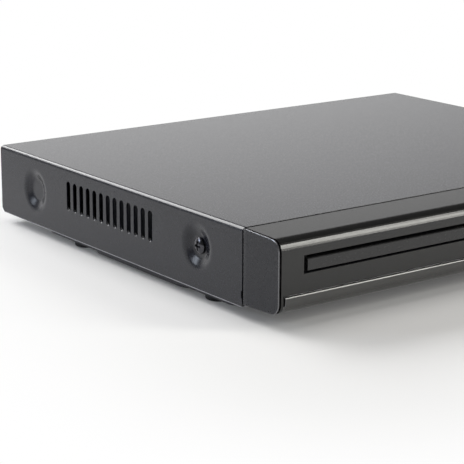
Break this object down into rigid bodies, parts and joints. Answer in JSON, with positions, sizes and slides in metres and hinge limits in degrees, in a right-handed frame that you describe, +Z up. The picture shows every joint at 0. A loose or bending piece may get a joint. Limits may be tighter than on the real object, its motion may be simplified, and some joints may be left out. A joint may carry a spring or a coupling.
{
  "type": "dvd player with tray",
  "caption": "Low, compact disc player in a vented steel cover, with a moulded front panel and a motor-driven disc tray that slides out of its front.",
  "frame": {"origin": "centre of the bounding box's bottom, on the plane that the rubber feet stand on", "axes": "+X to the right along the front, +Y from the front to the rear jacks, +Z up"},
  "size_m": [0.27, 0.2384, 0.0395],
  "materials": {
    "cover_paint": "fine matt texture",
    "steel_sheet": "zinc-plated",
    "pan_steel": "dark zinc-plated",
    "dark_screw": "black zinc",
    "rubber": "matt",
    "front_plastic": "fine matt",
    "front_metal": "dark satin",
    "lip_plastic": "satin",
    "door_plastic": "satin",
    "window_plastic": "gloss, smoked",
    "button_plastic": "satin",
    "power_plastic": "satin",
    "green_board": "solder mask",
    "brown_board": "paper laminate",
    "black_part": "moulded",
    "socket_steel": "nickel-plated",
    "ivory_plastic": "natural nylon",
    "heat_sink_metal": "extruded",
    "winding_tape": "tape",
    "capacitor_sleeve": "sleeve",
    "flat_cable": "film",
    "lead_red": "sleeve",
    "loader_plastic": "moulded",
    "motor_steel": "bright",
    "belt_rubber": "matt",
    "tray_plastic": "fine matt",
    "deck_metal": "plated",
    "rod_steel": "ground",
    "sled_metal": "die-cast",
    "lens_glass": "coated",
    "magnet": "plated"
  },
  "bodies": {
    "case": {"bottom_chassis": "pan_steel", "rear_panel": "steel_sheet", "top_cover": "cover_paint", "cover_screws": "dark_screw", "rear_screws": "dark_screw", "rubber_feet": "rubber", "front_panel": "front_plastic", "front_skin": "front_metal", "lower_trim": "lip_plastic", "display_window": "window_plastic", "front_board": "green_board", "display_module": "black_part", "tact_switches": "black_part", "infrared_receiver": "black_part", "usb_socket": "socket_steel", "front_board_screws": "dark_screw", "main_board": "green_board", "board_chips": "black_part", "chip_heat_sink": "heat_sink_metal", "flat_cable_sockets": "ivory_plastic", "rca_jacks": "black_part", "hdmi_socket": "socket_steel", "power_board": "brown_board", "transformer": "winding_tape", "capacitors": "capacitor_sleeve", "power_heat_sink": "heat_sink_metal", "mains_inlet": "black_part", "board_screws": "dark_screw", "front_flat_cable": "flat_cable", "pickup_flat_cable": "flat_cable", "supply_leads": "lead_red", "loader_frame": "loader_plastic", "loader_screws": "dark_screw", "loading_motor": "motor_steel", "drive_belt": "belt_rubber", "clamp_bridge": "steel_sheet", "bridge_screws": "dark_screw"},
    "tray": {"disc_tray": "tray_plastic", "tray_door": "door_plastic"},
    "drive_gear": {"tray_drive_gear": "ivory_plastic"},
    "pulley_gear": {"pulley_gear": "ivory_plastic"},
    "motor_pulley": {"motor_pulley": "ivory_plastic"},
    "deck": {"traverse_deck": "deck_metal", "spindle_motor": "motor_steel", "guide_rods": "rod_steel", "sled_motor": "motor_steel"},
    "cam_slider": {"cam_slider": "ivory_plastic"},
    "turntable": {"turntable": "black_part"},
    "lead_screw": {"lead_screw": "rod_steel"},
    "sled": {"pickup_sled": "sled_metal"},
    "lens": {"objective_lens": "lens_glass"},
    "clamper": {"clamper": "black_part", "clamper_magnet": "magnet"},
    "power_button": {"power_button": "power_plastic"},
    "open_button": {"open_button": "button_plastic"},
    "play_button": {"play_button": "button_plastic"},
    "stop_button": {"stop_button": "button_plastic"}
  },
  "joints": [
    {"name": "tray_slide", "type": "slide", "parent": "case", "child": "tray", "axis": [0, -1, 0], "range_m": [0, 0.134]},
    {"name": "drive_gear_spin", "type": "hinge", "parent": "case", "child": "drive_gear", "pos_m": [-0.0019, -0.09525, 0.0202], "axis": [0, 0, 1], "continuous": true},
    {"name": "pulley_gear_spin", "type": "hinge", "parent": "case", "child": "pulley_gear", "pos_m": [-0.01844, -0.09817, 0.0152], "axis": [0, 0, 1], "continuous": true},
    {"name": "motor_pulley_spin", "type": "hinge", "parent": "case", "child": "motor_pulley", "pos_m": [-0.0695, -0.09817, 0.0122], "axis": [0, 0, 1], "continuous": true},
    {"name": "deck_lift", "type": "hinge", "parent": "case", "child": "deck", "pos_m": [-0.0515, 0.05825, 0.016], "axis": [-1, 0, 0], "range_deg": [0, 4]},
    {"name": "cam_slide", "type": "slide", "parent": "case", "child": "cam_slider", "axis": [1, 0, 0], "range_m": [0, 0.02]},
    {"name": "turntable_spin", "type": "hinge", "parent": "deck", "child": "turntable", "pos_m": [-0.0515, -0.04784, 0.02081], "axis": [0, -0.0698, 0.9976], "continuous": true},
    {"name": "clamper_spin", "type": "hinge", "parent": "case", "child": "clamper", "pos_m": [-0.0515, -0.04725, 0.0322], "axis": [0, 0, 1], "continuous": true},
    {"name": "sled_slide", "type": "slide", "parent": "deck", "child": "sled", "axis": [0, 0.9976, 0.0698], "range_m": [0, 0.034]},
    {"name": "lead_screw_spin", "type": "hinge", "parent": "deck", "child": "lead_screw", "pos_m": [-0.081, -0.00729, 0.01422], "axis": [0, 0.9976, 0.0698], "continuous": true},
    {"name": "lens_focus", "type": "slide", "parent": "sled", "child": "lens", "axis": [0, -0.0698, 0.9976], "range_m": [-0.0004, 0.0004], "stiffness_N_per_m": 20},
    {"name": "power_button_press", "type": "slide", "parent": "case", "child": "power_button", "axis": [0, 1, 0], "range_m": [0, 0.0007], "stiffness_N_per_m": 800},
    {"name": "open_button_press", "type": "slide", "parent": "case", "child": "open_button", "axis": [0, 1, 0], "range_m": [0, 0.0007], "stiffness_N_per_m": 800},
    {"name": "play_button_press", "type": "slide", "parent": "case", "child": "play_button", "axis": [0, 1, 0], "range_m": [0, 0.0007], "stiffness_N_per_m": 800},
    {"name": "stop_button_press", "type": "slide", "parent": "case", "child": "stop_button", "axis": [0, 1, 0], "range_m": [0, 0.0007], "stiffness_N_per_m": 800}
  ],
  "couplings": [
    {"joint": "drive_gear_spin", "follows": "tray_slide", "rad_per_m": -125},
    {"joint": "pulley_gear_spin", "follows": "tray_slide", "rad_per_m": 312.5},
    {"joint": "motor_pulley_spin", "follows": "tray_slide", "rad_per_m": 1024},
    {"joint": "cam_slide", "follows": "deck_lift", "m_per_rad": 0.28648},
    {"joint": "clamper_spin", "follows": "turntable_spin", "ratio": 1},
    {"joint": "lead_screw_spin", "follows": "sled_slide", "rad_per_m": 2094.4}
  ]
}
